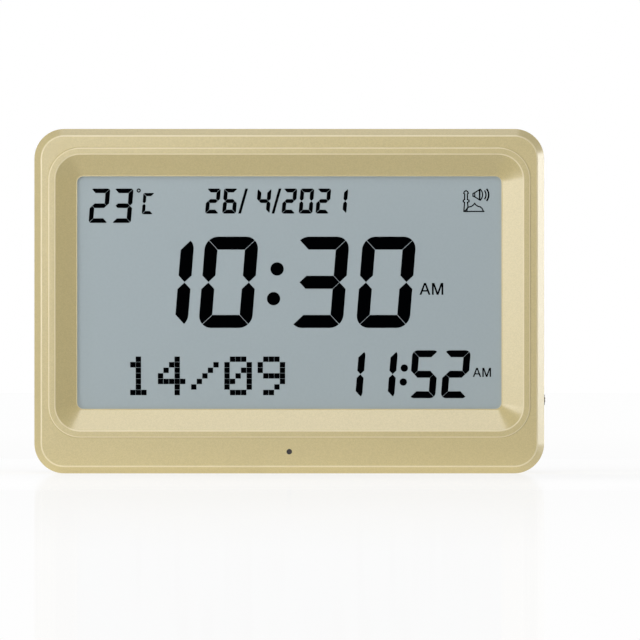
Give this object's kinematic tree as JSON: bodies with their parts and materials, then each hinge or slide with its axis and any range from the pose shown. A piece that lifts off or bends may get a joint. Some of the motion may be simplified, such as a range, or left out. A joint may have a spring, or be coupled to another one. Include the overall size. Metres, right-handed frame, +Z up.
{
  "type": "azan clock",
  "caption": "Wide digital prayer-time clock: segment display in a stepped, bevelled frame, with thumbwheel, folding leg, keyholes, rear buttons, loudspeaker and cell bay.",
  "frame": {"origin": "middle of the base, on the surface that the clock stands on", "axes": "+X to the right for someone who reads the display, the display faces -Y, +Z up"},
  "size_m": [0.2307, 0.032, 0.1554],
  "materials": {
    "champagne_shell": "moulded plastic under fine champagne-gold metallic paint, satin",
    "dark_button": "fine matt texture",
    "dark_wheel": "moulded, knurled",
    "screw_steel": "zinc plated",
    "smoked_lens": "smoked, glossy",
    "sensor_epoxy": "cast resin",
    "board_laminate": "green solder mask, satin",
    "display_film": "anti-glare film over grey-green liquid crystal",
    "display_glass": "float glass",
    "clear_acrylic": "clear acrylic with a printed back",
    "lamp_resin": "cast resin",
    "contact_rubber": "layered silicone rubber",
    "holder_plastic": "plain white moulding",
    "black_resin": "cast black resin",
    "crystal_can": "drawn can",
    "capacitor_can": "dark sleeve",
    "switch_plastic": "moulded",
    "thermistor_resin": "dipped bead",
    "socket_plastic": "moulded",
    "plated_metal": "nickel plated",
    "control_body": "pressed shell",
    "control_spindle": "turned",
    "speaker_sheet": "pressed, plated",
    "ferrite": "ground ferrite",
    "cone_paper": "black paper",
    "foam": "closed-cell foam",
    "cell_jacket": "plain printed jacket without words"
  },
  "bodies": {
    "case": {"backlight_lamps": "lamp_resin", "backlight_strip": "board_laminate", "battery_cells": "cell_jacket", "board_screws": "screw_steel", "capacitors": "capacitor_can", "case_screws": "screw_steel", "circuit_board": "board_laminate", "clock_chip": "black_resin", "contact_strip": "contact_rubber", "crystal": "crystal_can", "display_holder": "holder_plastic", "front_case": "champagne_shell", "front_glass": "display_glass", "front_polarizer": "display_film", "holder_screws": "screw_steel", "left_contacts": "plated_metal", "light_guide": "clear_acrylic", "light_sensor": "sensor_epoxy", "power_socket": "socket_plastic", "rear_cover": "champagne_shell", "rear_glass": "display_glass", "rear_polarizer": "display_film", "right_contacts": "plated_metal", "sensor_board": "board_laminate", "sensor_lens": "smoked_lens", "sensor_screws": "screw_steel", "socket_pin": "plated_metal", "speaker_basket": "speaker_sheet", "speaker_cone": "cone_paper", "speaker_gasket": "foam", "speaker_magnet": "ferrite", "speaker_screws": "screw_steel", "speaker_top_plate": "speaker_sheet", "speaker_yoke": "speaker_sheet", "switches": "switch_plastic", "thermometer": "thermistor_resin", "voice_chip": "black_resin", "volume_control": "control_body"},
    "volume": {"volume_wheel": "dark_wheel", "volume_spindle": "control_spindle", "wheel_screw": "screw_steel"},
    "leg": {"folding_leg": "champagne_shell"},
    "door": {"battery_door": "champagne_shell"},
    "menu_key": {"menu_button": "dark_button", "menu_plunger": "switch_plastic"},
    "up_key": {"up_button": "dark_button", "up_plunger": "switch_plastic"},
    "down_key": {"down_button": "dark_button", "down_plunger": "switch_plastic"},
    "light_key": {"light_button": "dark_button", "light_plunger": "switch_plastic"},
    "mute_key": {"mute_button": "dark_button", "mute_plunger": "switch_plastic"}
  },
  "joints": [
    {"name": "volume_turn", "type": "hinge", "parent": "case", "child": "volume", "pos_m": [0.1077, 0.00443, 0.0331], "axis": [0, 1, 0], "range_deg": [-150, 150]},
    {"name": "leg_fold", "type": "hinge", "parent": "case", "child": "leg", "pos_m": [0, 0.01317, 0.075], "axis": [1, 0, 0], "range_deg": [0, 30]},
    {"name": "door_open", "type": "hinge", "parent": "case", "child": "door", "pos_m": [-0.0741, 0.01597, 0.0648], "axis": [1, 0, 0], "range_deg": [-60, 0]},
    {"name": "menu_press", "type": "slide", "parent": "case", "child": "menu_key", "axis": [0, -1, 0], "range_m": [0, 0.0005], "stiffness_N_per_m": 300, "springref_m": -0.001},
    {"name": "up_press", "type": "slide", "parent": "case", "child": "up_key", "axis": [0, -1, 0], "range_m": [0, 0.0005], "stiffness_N_per_m": 300, "springref_m": -0.001},
    {"name": "down_press", "type": "slide", "parent": "case", "child": "down_key", "axis": [0, -1, 0], "range_m": [0, 0.0005], "stiffness_N_per_m": 300, "springref_m": -0.001},
    {"name": "light_press", "type": "slide", "parent": "case", "child": "light_key", "axis": [0, -1, 0], "range_m": [0, 0.0005], "stiffness_N_per_m": 300, "springref_m": -0.001},
    {"name": "mute_press", "type": "slide", "parent": "case", "child": "mute_key", "axis": [0, -1, 0], "range_m": [0, 0.0005], "stiffness_N_per_m": 300, "springref_m": -0.001}
  ]
}
